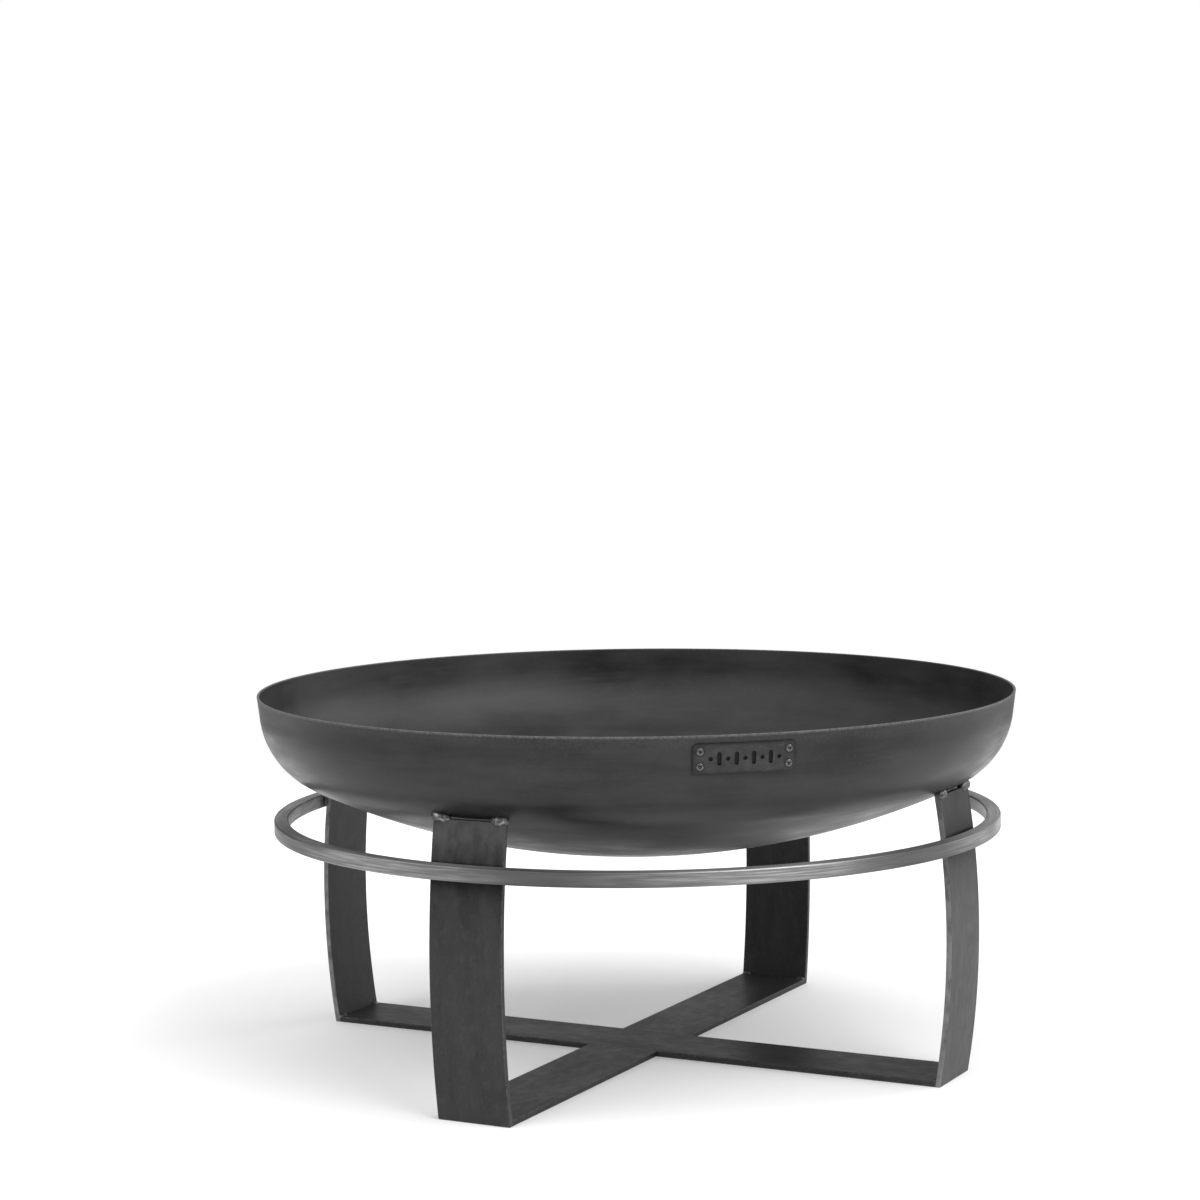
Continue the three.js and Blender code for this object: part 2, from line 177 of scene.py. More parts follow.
class Shell:
    """Collects a mesh's points and faces, with the values that its material reads at each point.

    flow is the point's place in the pattern, along the piece first. The tints are edge (worn bright,
    and painted light under the bowl's rim and on the hoop's top), warmed (near a weld or inside the
    bowl, and painted light on a leg's upper part), dark (painted shade) and shine (painted highlight
    stretches round the hoop, and paler narrow sides on two legs).
    """

    def __init__(self):
        self.points = []
        self.faces = []
        self.flow = []
        self.tints = {"edge": [], "warmed": [], "dark": [], "shine": []}

    def add(self, point, flow=(0, 0, 0), **tints):
        """Adds a point and gives its number."""
        self.points.append(Vector(point))
        self.flow.append(Vector(flow))
        for label, values in self.tints.items():
            values.append(tints.get(label, 0.0))
        return len(self.points) - 1

    def bridge(self, one, other, closed=True):
        """Quads between two rings of the same number of points."""
        count = len(one)
        for i in range(count if closed else count - 1):
            j = (i + 1) % count
            self.faces.append((one[i], one[j], other[j], other[i]))

    def fan(self, hub, ring):
        """Triangles from a hub to a closed ring."""
        for i, point in enumerate(ring):
            self.faces.append((hub, point, ring[(i + 1) % len(ring)]))

    def cap(self, ring):
        """Closes a ring with a fan round its middle."""
        share = 1 / len(ring)
        middle = sum((self.points[i] for i in ring), Vector()) * share
        flow = sum((self.flow[i] for i in ring), Vector()) * share
        warmed = sum(self.tints["warmed"][i] for i in ring) * share
        self.fan(self.add(middle, flow, warmed=warmed), ring)

    def loft(self, rings):
        """Joins the rings in turn and closes both ends."""
        for one, other in zip(rings, rings[1:]):
            self.bridge(one, other)
        self.cap(rings[0])
        self.cap(rings[-1])

    def to_object(self, name, material):
        mesh = bpy.data.meshes.new(name)
        mesh.from_pydata([tuple(p) for p in self.points], [], self.faces)
        flow = mesh.attributes.new("flow", "FLOAT_VECTOR", "POINT")
        flow.data.foreach_set("vector", [value for vector in self.flow for value in vector])
        for label, values in self.tints.items():
            mesh.attributes.new(label, "FLOAT", "POINT").data.foreach_set("value", values)
        return finished(name, mesh, material)


def finished(name, mesh, material):
    """An object of a closed mesh, facing out and shaded smooth between its rounded edges."""
    shape = bmesh.new()
    shape.from_mesh(mesh)
    bmesh.ops.recalc_face_normals(shape, faces=shape.faces)
    shape.to_mesh(mesh)
    shape.free()
    mesh.shade_smooth()
    mesh.materials.append(material)
    piece = bpy.data.objects.new(name, mesh)
    bpy.context.scene.collection.objects.link(piece)
    weighted = piece.modifiers.new("weighted_normals", "WEIGHTED_NORMAL")
    weighted.weight = 90
    return piece


def evaluated_mesh(holder):
    """The mesh of an object with its modifiers applied."""
    bpy.context.view_layer.update()
    evaluated = holder.evaluated_get(bpy.context.evaluated_depsgraph_get())
    return bpy.data.meshes.new_from_object(evaluated)


def declare(piece, slot, *nodes):
    """The piece rides on the object's one body and stands for its CAD nodes."""
    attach(piece, "root")
    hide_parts(*nodes)


def arc(across, up, radius, start, end, steps):
    """Points on a circle, both ends included."""
    angles = [start + (end - start) * i / steps for i in range(steps + 1)]
    return [(across + radius * math.cos(a), up + radius * math.sin(a)) for a in angles]


def outward(azimuth):
    return Vector((math.cos(azimuth), math.sin(azimuth), 0))


def sideways(azimuth):
    return Vector((-math.sin(azimuth), math.cos(azimuth), 0))


def random_offset(label):
    """A place in the pattern of its own for each piece, the same on every run."""
    draw = random.Random(label)
    span = 20
    return Vector([draw.uniform(-span, span) for _ in range(3)])


# ---- Bowl profile ----

wall_foot = (
    RIM_RADIUS - WALL_LENGTH * math.sin(WALL_FLARE),
    RIM_HEIGHT - WALL_LENGTH * math.cos(WALL_FLARE),
)
knuckle_centre = (
    wall_foot[0] - KNUCKLE_RADIUS * math.cos(WALL_FLARE),
    wall_foot[1] + KNUCKLE_RADIUS * math.sin(WALL_FLARE),
)
crown_angle = math.acos(knuckle_centre[0] / (CROWN_RADIUS - KNUCKLE_RADIUS))
crown_centre_height = knuckle_centre[1] + (CROWN_RADIUS - KNUCKLE_RADIUS) * math.sin(crown_angle)


def bowl_curve(offset):
    """The bowl's curve from the axis to the rim, moved out by an offset from the outer face."""
    crown = arc(0, crown_centre_height, CROWN_RADIUS + offset, -math.pi / 2, -crown_angle, 44)
    knuckle = arc(*knuckle_centre, KNUCKLE_RADIUS + offset, -crown_angle, -WALL_FLARE, 30)
    top = (RIM_RADIUS + offset / math.cos(WALL_FLARE), RIM_HEIGHT)
    foot = knuckle[-1]
    steps = 8
    wall = []
    for i in range(1, steps + 1):
        wall.append((foot[0] + (top[0] - foot[0]) * i / steps, foot[1] + (top[1] - foot[1]) * i / steps))
    return crown + knuckle[1:] + wall


def wall_frame(drop, azimuth):
    """A frame on the bowl's wall, a drop down it from the rim: X leaves the bowl, Y runs round it."""
    radius = RIM_RADIUS - drop * math.sin(WALL_FLARE)
    height = RIM_HEIGHT - drop * math.cos(WALL_FLARE)
    turn = Matrix.Rotation(azimuth, 4, "Z") @ Matrix.Translation((radius, 0, height))
    return turn @ Matrix.Rotation(WALL_FLARE, 4, "Y")


# ---- Where the welds and shades are ----

BOWL_TACKS = {f"{c}_{h}": centre_of(f"bowl_tack_{c}_{h}") for c in CORNERS for h in HANDS}
RING_TACKS = {f"{c}_{h}": centre_of(f"ring_tack_{c}_{h}") for c in CORNERS for h in HANDS}
FOOT_TACKS = {f"{c}_{h}": centre_of(f"foot_tack_{c}_{h}") for c in CORNERS for h in HANDS}


def fade(distance, reach):
    """1 at no distance, a third at the reach, and next to nothing at twice the reach."""
    return math.exp(-((distance / reach) ** 2))


def nearness(point, places, reach):
    """1 at the nearest of the places, fading out past the reach."""
    return fade(min((point - place).length for place in places), reach)


def ramp(value, start, end):
    """0 before the start and 1 past the end, smooth between them."""
    share = min(1, max(0, (value - start) / (end - start)))
    return share * share * (3 - 2 * share)


def leg_top_shade(point):
    """The shade on the bowl round the narrow gap over the nearest leg's top."""
    nearest = RIM_RADIUS
    for corner in CORNERS:
        one, other = (BOWL_TACKS[f"{corner}_{h}"] for h in HANDS)
        along = other - one
        share = min(1, max(0, (point - one).dot(along) / along.length_squared))
        nearest = min(nearest, (point - one - along * share).length)
    return GAP_SHADE * fade(nearest, GAP_SHADE_REACH)


def plate_shade(azimuth, drop):
    """How far the bowl's surface is covered by the marker plate, as painted shade soft at the plate's
    outline.
    """
    past_side = abs(azimuth - PLATE_AZIMUTH) * RIM_RADIUS - PLATE_WIDTH / 2
    past_top = abs(drop - PLATE_DROP) - PLATE_HEIGHT / 2
    return (1 - ramp(past_side, -7 * MM, 1 * MM)) * (1 - ramp(past_top, -2 * MM, 2 * MM))


# ---- Materials ----

NOISE_ROUGHNESS = 0.55
DARK_STEEL = {"Metallic": 0.2, "Specular_IOR_Level": 0.25}  # under mill scale or oil


class Tree:
    """A short way to write a node tree. An input is a plain value, or a socket to link from."""

    def __init__(self, tree):
        self.tree = tree

    def link(self, source, target):
        self.tree.links.new(source, target)

    def new(self, kind, inputs=None, **settings):
        node = self.tree.nodes.new(kind)
        for key, value in settings.items():
            setattr(node, key, value)
        for key, value in (inputs or {}).items():
            if isinstance(value, bpy.types.NodeSocket):
                self.link(value, node.inputs[key])
            else:
                node.inputs[key].default_value = value
        return node

    def math(self, operation, *values):
        return self.new("ShaderNodeMath", dict(enumerate(values)), operation=operation).outputs[0]


class Surface(Tree):
    """A short way to write a material's node tree."""

    def __init__(self, name):
        self.material = bpy.data.materials.new(name)
        self.material.use_nodes = True
        super().__init__(self.material.node_tree)
        self.tree.nodes.clear()
        output = self.new("ShaderNodeOutputMaterial")
        self.shader = self.new("ShaderNodeBsdfPrincipled")
        self.link(self.shader.outputs["BSDF"], output.inputs["Surface"])

    def attribute(self, name, output="Fac"):
        return self.new("ShaderNodeAttribute", attribute_name=name).outputs[output]

    def place(self):
        return self.new("ShaderNodeTexCoord").outputs["Object"]

    def noise(self, vector, scale, stretch, detail):
        """Noise with about so many features to the metre, more along an axis with a larger stretch."""
        scales = [scale * share for share in stretch]
        scaled = self.new("ShaderNodeMapping", {"Vector": vector, "Scale": scales}).outputs["Vector"]
        values = {"Vector": scaled, "Scale": 1.0, "Detail": detail, "Roughness": NOISE_ROUGHNESS}
        return self.new("ShaderNodeTexNoise", values).outputs["Fac"]

    def spread(self, value, low, high, to_low=0.0, to_high=1.0):
        """Maps a range of values to another, held at its ends."""
        values = {"Value": value, "From Min": low, "From Max": high}
        values.update({"To Min": to_low, "To Max": to_high})
        return self.new("ShaderNodeMapRange", values).outputs["Result"]

    def blend(self, one, share, other, other_share):
        """A weighted sum."""
        parts = [self.math("MULTIPLY", one, share), self.math("MULTIPLY", other, other_share)]
        return self.math("ADD", *parts)

    def mix(self, factor, one, other):
        """Mixes two colours, sockets 6 and 7 of the node; a plain number stands for a grey."""
        values = {"Factor": factor, 6: as_colour(one), 7: as_colour(other)}
        return self.new("ShaderNodeMix", values, data_type="RGBA").outputs[2]

    def finish(self, colour, roughness, height=None, bump=0.0, strength=0.0, **constants):
        self.link(colour, self.shader.inputs["Base Color"])
        self.link(roughness, self.shader.inputs["Roughness"])
        for key, value in constants.items():
            self.shader.inputs[key.replace("_", " ")].default_value = value
        if height is not None:
            node = self.new("ShaderNodeBump", {"Height": height, "Distance": bump, "Strength": strength})
            self.link(node.outputs["Normal"], self.shader.inputs["Normal"])
        return self.material


def as_colour(value):
    return (value, value, value, 1.0) if isinstance(value, float) else value


def bar_steel(name, low, high):
    """Hot-rolled flat bar: mottled scale, faint streaks, paler corners, paler near welds, painted light
    on the legs' upper parts, paler narrow sides on two legs, and painted shade under the hoop and on
    the half bars' narrow sides.
    """
    n = Surface(name)
    flow = n.attribute("flow", "Vector")
    broad = n.noise(flow, 16, (0.5, 1.6, 1), 4)
    streak = n.noise(flow, 45, (0.25, 1.6, 1), 4)
    blotch = n.noise(flow, 110, (0.6, 1, 1), 4)
    speck = n.noise(flow, 420, (0.6, 1, 1), 3)
    grain = n.noise(flow, 1600, (0.5, 1, 1), 2)
    tone = n.blend(broad, 0.7, streak, 0.3)
    colour = n.mix(n.spread(tone, 0.38, 0.62), low, high)
    colour = n.mix(n.spread(blotch, 0.50, 0.72, 0, 0.30), colour, 0.060)
    colour = n.mix(n.spread(speck, 0.56, 0.74, 0, 0.30), colour, 0.065)
    colour = n.mix(n.spread(speck, 0.42, 0.28, 0, 0.35), colour, 0.018)
    # paler near welds, and painted light on the legs' upper parts
    warmed = n.math("MULTIPLY", n.attribute("warmed"), n.spread(blotch, 0.35, 0.6, 0.45, 1.0))
    colour = n.mix(n.math("MULTIPLY", warmed, 0.6), colour, 0.12)
    # painted shade under the hoop on the legs, and on the half bars' narrow sides
    dark = n.math("MULTIPLY", n.attribute("dark"), n.spread(blotch, 0.35, 0.6, 1.0, 0.65))
    colour = n.mix(dark, colour, 0.004)
    worn = n.math("MULTIPLY", n.attribute("edge"), n.spread(speck, 0.38, 0.62, 0.1, 1.0))
    colour = n.mix(n.math("MULTIPLY", worn, 0.5), colour, 0.11)
    pale_side = n.math("MULTIPLY", n.attribute("shine"), n.spread(blotch, 0.35, 0.6, 0.4, 1.0))
    colour = n.mix(pale_side, colour, 0.20)
    roughness = n.spread(n.math("ADD", broad, blotch), 0.7, 1.3, 0.33, 0.51)
    height = n.blend(speck, 0.5, grain, 0.5)
    return n.finish(colour, roughness, height, 0.05 * MM, 0.5, **DARK_STEEL)


def bowl_steel():
    """Pressed sheet: soft mottling, faint turned lines, a paler cut rim with painted light in a band
    under it, painted shade over the legs' tops and behind the marker plate, and a duller inside.
    """
    n = Surface("bowl_steel")
    place = n.place()
    cloud = n.noise(place, 9, (1, 1, 1.8), 4)
    band = n.noise(place, 24, (0.5, 0.5, 3.5), 4)
    line = n.noise(place, 60, (0.3, 0.3, 6), 3)
    speck = n.noise(place, 380, (1, 1, 1), 3)
    tone = n.blend(cloud, 0.65, band, 0.35)
    colour = n.mix(n.spread(tone, 0.38, 0.62), 0.018, 0.038)
    colour = n.mix(n.spread(line, 0.55, 0.75, 0, 0.15), colour, 0.060)
    colour = n.mix(n.spread(speck, 0.58, 0.78, 0, 0.25), colour, 0.065)
    colour = n.mix(n.spread(speck, 0.42, 0.26, 0, 0.3), colour, 0.018)
    # painted shade over the legs' tops and behind the marker plate
    colour = n.mix(n.attribute("dark"), colour, 0.004)
    # the paler cut rim, and painted light in a band under it
    worn = n.math("MULTIPLY", n.attribute("edge"), n.spread(speck, 0.35, 0.6, 0.4, 1.0))
    colour = n.mix(n.math("MULTIPLY", worn, 0.8), colour, 0.15)
    roughness = n.spread(n.math("ADD", band, cloud), 0.75, 1.25, 0.28, 0.46)
    roughness = n.math("ADD", roughness, n.math("MULTIPLY", n.attribute("warmed"), 0.08))
    height = n.blend(line, 0.4, speck, 0.6)
    return n.finish(colour, roughness, height, 0.05 * MM, 0.4, **DARK_STEEL)


def brushed_steel():
    """Bare tube sanded along its length, with painted highlight stretches round it and on its top, duller
    in patches, darker near welds, and painted shade underneath and on its upper corners between the
    stretches.
    """
    n = Surface("brushed_steel")
    flow = n.attribute("flow", "Vector")
    patch = n.noise(flow, 11, (0.8, 3, 1), 4)
    scratch = n.noise(flow, 700, (0.02, 1, 1), 4)
    coarse = n.noise(flow, 420, (0.04, 1, 1), 4)
    colour = n.mix(n.spread(scratch, 0.30, 0.70), 0.24, 0.52)
    colour = n.mix(n.spread(coarse, 0.40, 0.60, 0, 0.6), colour, 0.11)
    colour = n.mix(n.spread(patch, 0.44, 0.62, 0, 0.5), colour, 0.12)
    # painted highlight stretches round the hoop, darker between them
    colour = n.mix(n.spread(n.attribute("shine"), 0, 1, 0.85, 0), colour, 0.08)
    # painted shade underneath and on the upper corners between the stretches
    colour = n.mix(n.attribute("dark"), colour, 0.050)
    colour = n.mix(n.math("MULTIPLY", n.attribute("warmed"), 0.5), colour, 0.07)
    # painted highlight on the top face and upper corners
    bright = n.math("MULTIPLY", n.attribute("edge"), n.spread(patch, 0.60, 0.40, 0.35, 1.0))
    colour = n.mix(n.math("MULTIPLY", bright, 0.75), colour, 0.66)
    roughness = n.spread(n.math("ADD", patch, coarse), 0.75, 1.25, 0.34, 0.48)
    height = n.blend(scratch, 0.6, coarse, 0.4)
    return n.finish(colour, roughness, height, 0.06 * MM, 0.8, Metallic=0.6)


def weld_metal(name, crest_tone):
    """Bare weld puddles: dull grey, with crests of another tone."""
    n = Surface(name)
    place = n.place()
    blotch = n.noise(place, 260, (1, 1, 1), 3)
    crest = n.noise(place, 150, (1, 1, 1), 2)
    colour = n.mix(n.spread(blotch, 0.35, 0.65), 0.07, 0.14)
    colour = n.mix(n.spread(crest, 0.54, 0.68), colour, crest_tone)
    roughness = n.spread(crest, 0.50, 0.66, 0.45, 0.30)
    return n.finish(colour, roughness, blotch, 0.12 * MM, 0.6, Metallic=0.7)


def plate_steel():
    """Laser-cut plate, oiled: fine grain, with painted shade round its outline and its rivets."""
    n = Surface("plate_steel")
    flow = n.attribute("flow", "Vector")
    cloud = n.noise(flow, 60, (1, 1.4, 1), 3)
    line = n.noise(flow, 500, (0.3, 1, 1), 4)
    speck = n.noise(flow, 900, (1, 1, 1), 2)
    colour = n.mix(n.spread(cloud, 0.35, 0.65), 0.028, 0.046)
    colour = n.mix(n.spread(line, 0.52, 0.72, 0, 0.5), colour, 0.070)
    quarter = n.new("ShaderNodeVectorMath", {0: flow}, operation="ABSOLUTE").outputs[0]
    axes = n.new("ShaderNodeSeparateXYZ", {0: quarter})
    side = n.spread(axes.outputs["X"], PLATE_WIDTH / 2 - 5 * MM, PLATE_WIDTH / 2 - 1 * MM)
    top = n.spread(axes.outputs["Y"], PLATE_HEIGHT / 2 - 3 * MM, PLATE_HEIGHT / 2 - 0.5 * MM)
    flat = n.new("ShaderNodeVectorMath", {0: quarter, 1: (1, 1, 0)}, operation="MULTIPLY").outputs[0]
    rivet = {0: flat, 1: (RIVET_ACROSS, RIVET_UP, 0)}
    away = n.new("ShaderNodeVectorMath", rivet, operation="DISTANCE").outputs["Value"]
    near = n.spread(away, RIVET_HEAD + 2.5 * MM, RIVET_HEAD)
    shade = n.math("MAXIMUM", n.math("MAXIMUM", side, top), near)
    shade = n.math("MULTIPLY", shade, n.spread(cloud, 0.3, 0.6, 0.9, 0.6))
    colour = n.mix(shade, colour, 0.010)
    roughness = n.spread(n.math("ADD", line, cloud), 0.75, 1.25, 0.34, 0.48)
    height = n.blend(line, 0.6, speck, 0.4)
    return n.finish(colour, roughness, height, 0.05 * MM, 0.6, **DARK_STEEL)


def rivet_metal(name, dark, light):
    """Rivet or mandrel metal, turned and a little scuffed."""
    n = Surface(name)
    place = n.place()
    scuff = n.noise(place, 700, (1, 1, 1), 4)
    colour = n.mix(n.spread(scuff, 0.35, 0.65), dark, light)
    roughness = n.spread(scuff, 0.35, 0.65, 0.42, 0.28)
    return n.finish(colour, roughness, scuff, 0.05 * MM, 0.4, Metallic=0.95)


def floor_paint():
    """Near white, and faintly lit from below, as a photographer's table is."""
    n = Surface("floor_paint")
    cloud = n.noise(n.place(), 2, (1, 1, 1), 2)
    colour = n.mix(n.spread(cloud, 0.3, 0.7), 0.86, 0.88)
    roughness = n.spread(cloud, 0.3, 0.7, 0.75, 0.8)
    return n.finish(colour, roughness, Emission_Strength=FLOOR_GLOW)


LEG_STEEL = bar_steel("leg_steel", 0.022, 0.035)
# A paler copy of the leg steel: painted light on the front left half bar; the crossing welds share it.
LIT_FOOT_STEEL = bar_steel("lit_foot_steel", 0.031, 0.048)
BOWL_STEEL = bowl_steel()
BRUSHED_STEEL = brushed_steel()
WELD_METAL = weld_metal("weld_metal", 0.36)
SMOKED_WELD = weld_metal("smoked_weld", 0.05)
PLATE_STEEL = plate_steel()
RIVET_METAL = rivet_metal("rivet_metal", 0.09, 0.18)
MANDREL_METAL = rivet_metal("mandrel_metal", 0.05, 0.10)


# ---- Bowl ----


def bowl_outline():
    """The dish's section as (radius, height, edge, dull): up its outside, over the rim and back down."""
    outer = []
    for radius, height in bowl_curve(0):
        # painted light in a band under the rim
        edge = RIM_LIGHT_BAND * ramp(height, RIM_HEIGHT - UNDER_RIM_DROP, RIM_HEIGHT)
        outer.append((radius, height, edge, 0.0))
    inner = [(radius, height, 0.0, 1.0) for radius, height in bowl_curve(-BOWL_SHEET)]
    outer_radius, inner_radius = outer.pop()[0], inner.pop()[0]
    level = RIM_HEIGHT - RIM_ROUND
    rim = arc(outer_radius - RIM_ROUND, level, RIM_ROUND, 0, math.pi / 2, 4)
    rim += arc(inner_radius + RIM_ROUND, level, RIM_ROUND, math.pi / 2, math.pi, 4)
    top = [(radius, height, 1.0, 1.0) for radius, height in rim]
    for drop, edge, dull_and_shaded in BARE_STRIP:
        lean = drop * math.tan(WALL_FLARE)
        top.insert(0, (outer_radius - lean, RIM_HEIGHT - drop, edge, dull_and_shaded))
        top.append((inner_radius - lean, RIM_HEIGHT - drop, 0.0, 1.0))
    return outer + top + inner[::-1]


def make_bowl():
    """The dish, turned about +Z, with its rounded rim and a trace of waviness from pressing."""
    segments = 288
    wave_size, waves = 0.35 * MM, 4.5
    bottom, *outline, inside_bottom = bowl_outline()
    shell = Shell()
    turns = []
    for j in range(segments):
        azimuth = 2 * math.pi * (j / segments - 0.5)
        ring = []
        for radius, height, edge, dull_and_shaded in outline:
            point = outward(azimuth) * radius + UP * height
            wave = noise.noise(point * waves) * wave_size * min(1, radius / (0.5 * RIM_RADIUS))
            point += outward(azimuth) * wave
            # painted shade over the legs' tops and behind the marker plate
            dark = 0.0
            if not dull_and_shaded:
                dark = max(leg_top_shade(point), plate_shade(azimuth, RIM_HEIGHT - height))
            flow = (azimuth * RIM_RADIUS, height, 0)
            ring.append(shell.add(point, flow, edge=edge, warmed=dull_and_shaded, dark=dark))
        turns.append(ring)
    for j in range(segments):
        shell.bridge(turns[j], turns[(j + 1) % segments], closed=False)
    for (_, height, _, dull_and_shaded), column in ((bottom, 0), (inside_bottom, -1)):
        shell.fan(shell.add(UP * height, warmed=dull_and_shaded), [turn[column] for turn in turns])
    declare(shell.to_object("fire_bowl_dish", BOWL_STEEL), "bowl_steel", "bowl")


make_bowl()

# ---- Legs and foot bars ----


def bar_section(width, thickness, corner):
    """Outline of flat bar as (out, across, edge), with rounded corners and points close beside them."""
    half_out, half_across = thickness / 2, width / 2
    flat = half_across - corner
    spots = [-flat, -flat + EDGE_SUPPORT]
    spots += [flat * (i / 8 - 1) for i in range(1, 16)]
    spots += [flat - EDGE_SUPPORT, flat]
    side = [(share * (half_out - corner), half_across, SOFT_EDGE * abs(share)) for share in (1, 0, -1)]
    outline = []
    for turn in (1, -1):
        outline += [(turn * half_out, turn * across, 0.0) for across in spots]
        bend = arc(half_out - corner, flat, corner, 0, math.pi / 2, 5)[1:-1]
        outline += [(turn * out, turn * across, 1.0) for out, across in bend]
        outline += [(turn * out, turn * across, edge) for out, across, edge in side]
        bend = arc(corner - half_out, flat, corner, math.pi / 2, math.pi, 5)[1:-1]
        outline += [(turn * out, turn * across, 1.0) for out, across in bend]
    return outline


def stations(start, end, steps, corner):
    """Places along a bar, with each section's inset and edge tint, so that its cut ends are rounded."""
    ends = [(corner * (1 - math.cos(a)), corner * (1 - math.sin(a)), 1.0) for a in (0, 0.4, 0.8, 1.2)]
    ends += [(corner, 0.0, SOFT_EDGE), (corner + EDGE_SUPPORT, 0.0, 0.0)]
    middle = [(start + (end - start) * i / steps, 0.0, 0.0) for i in range(1, steps)]
    first = [(start + along, inset, edge) for along, inset, edge in ends]
    last = [(end - along, inset, edge) for along, inset, edge in reversed(ends)]
    return first + middle + last


def shrunk(outline, width, thickness, inset):
    """The outline drawn in by an inset on every side."""
    out_share = 1 - 2 * inset / thickness
    across_share = 1 - 2 * inset / width
    return [(out * out_share, across * across_share, edge) for out, across, edge in outline]


def on_side(across):
    """1 on a bar's narrow side faces, 0 on its broad ones."""
    return ramp(abs(across), BAR_WIDTH / 2 - BAR_CORNER, BAR_WIDTH / 2)


def leg_face(radius, height):
    """Distance from the bowl's axis to a leg's face of the given roll radius."""
    rise = height - LEG_BULGE_HEIGHT
    return LEG_BULGE_DISTANCE - LEG_ROLL_RADIUS + math.sqrt(radius**2 - rise**2)


def painted_top_light(corner, height):
    """The painted light on a leg at a height, rising in two steps: behind the hoop and near its top."""
    share = 0.6 * ramp(height, ring_low.z, ring_high.z)
    share += 0.4 * ramp(height, LEG_TOP - 34 * MM, LEG_TOP - 12 * MM)
    return share * PAINTED_TOP_LIGHT[corner]


def make_leg(corner, degrees):
    """A leg in level slices, from the ground to its level top cut under the bowl."""
    azimuth = math.radians(degrees)
    out, side = outward(azimuth), sideways(azimuth)
    offset = random_offset("leg_" + corner)
    tacks = [BOWL_TACKS[f"{corner}_{h}"] for h in HANDS] + [FOOT_TACKS[f"{corner}_{h}"] for h in HANDS]
    section = bar_section(BAR_WIDTH, BAR_THICKNESS, BAR_CORNER)
    slices = 84
    shell = Shell()
    rings = []
    for height, inset, end_edge in stations(0, LEG_TOP, slices, LEG_END_ROUND):
        outer = leg_face(LEG_ROLL_RADIUS, height)
        inner = leg_face(LEG_ROLL_RADIUS - BAR_THICKNESS, height)
        stretch = (outer - inner) / BAR_THICKNESS
        ring = []
        for thick, across, edge in shrunk(section, BAR_WIDTH, BAR_THICKNESS, inset):
            distance = (outer + inner) / 2 + thick * stretch
            point = out * distance + side * across + UP * height
            ragged = 1 + 0.5 * noise.noise(Vector((across * 45, degrees, 0)))
            shaded = thick > 0 and height < ring_high.z
            tints = {
                "edge": max(edge, end_edge),
                # paler near the welds, and painted light on the leg's upper part
                "warmed": max(WELD_GLOW * nearness(point, tacks, LEG_WELD_REACH), painted_top_light(corner, height)),
                "dark": fade(max(ring_low.z - height, 0), HOOP_SHADE_REACH * ragged) if shaded else 0.0,
                "shine": PALE_SIDES[corner] * on_side(across),
            }
            ring.append(shell.add(point, Vector((height, across, thick)) + offset, **tints))
        rings.append(ring)
    shell.loft(rings)
    declare(shell.to_object(f"curved_leg_{corner}", LEG_STEEL), "frame_steel", f"leg_{corner}")


def make_foot_bar(name, node, degrees, start, end, side_dark, material):
    """A flat bar lying on the ground along a diagonal, from one distance out to another."""
    azimuth = math.radians(degrees)
    out, side = outward(azimuth), sideways(azimuth)
    offset = random_offset(name)
    tacks = list(FOOT_TACKS.values())
    section = bar_section(BAR_WIDTH, BAR_THICKNESS, BAR_CORNER)
    slices = round((end - start) / (6 * MM))
    shell = Shell()
    rings = []
    for distance, inset, end_edge in stations(start, end, slices, BAR_END_ROUND):
        ring = []
        for thick, across, edge in shrunk(section, BAR_WIDTH, BAR_THICKNESS, inset):
            point = out * distance + side * across + UP * (BAR_THICKNESS / 2 + thick)
            tints = {
                "edge": max(edge, end_edge),
                "warmed": WELD_GLOW * nearness(point, tacks, BAR_WELD_REACH),
                # painted shade on the narrow sides
                "dark": side_dark * on_side(across),
            }
            ring.append(shell.add(point, Vector((distance, across, thick)) + offset, **tints))
        rings.append(ring)
    shell.loft(rings)
    declare(shell.to_object(name, material), "frame_steel", node)


foot_reach = leg_face(LEG_ROLL_RADIUS - BAR_THICKNESS, BAR_THICKNESS / 2)
for corner, degrees in CORNERS.items():
    make_leg(corner, degrees)
through = ("crossed_bar_through", "foot_bar_through")
make_foot_bar(*through, CORNERS["back_left"], -foot_reach, foot_reach, THROUGH_SIDE_DARK, LEG_STEEL)
for corner, material in zip(HALF_BARS, (LIT_FOOT_STEEL, LEG_STEEL)):
    half = (f"crossed_bar_{corner}", f"foot_bar_{corner}")
    make_foot_bar(*half, CORNERS[corner], BAR_WIDTH / 2, foot_reach, HALF_SIDE_DARK, material)

# ---- Hoop ----


def tube_section(size, corner):
    """Outline of square tube as (out, up, edge), with rounded corners and points close beside them."""
    half = size / 2
    flat = half - corner
    outline = []
    for quarter in range(4):
        turn = Matrix.Rotation(quarter * math.pi / 2, 2)
        first, *bend = arc(flat, flat, corner, 0, math.pi / 2, 6)[:-1]
        side = [(half, flat * share) for share in (-1, -0.8, 0, 0.8)] + [first]
        for spots, edge in ((side, 0.0), (bend, 1.0)):
            moved = [turn @ Vector(spot) for spot in spots]
            outline += [(spot.x, spot.y, edge) for spot in moved]
    return outline


def round_length(outline):
    """How far round the outline each of its points is."""
    total, lengths = 0.0, []
    for i, (x, y, _) in enumerate(outline):
        lengths.append(total)
        following = outline[(i + 1) % len(outline)]
        total += math.hypot(following[0] - x, following[1] - y)
    return lengths


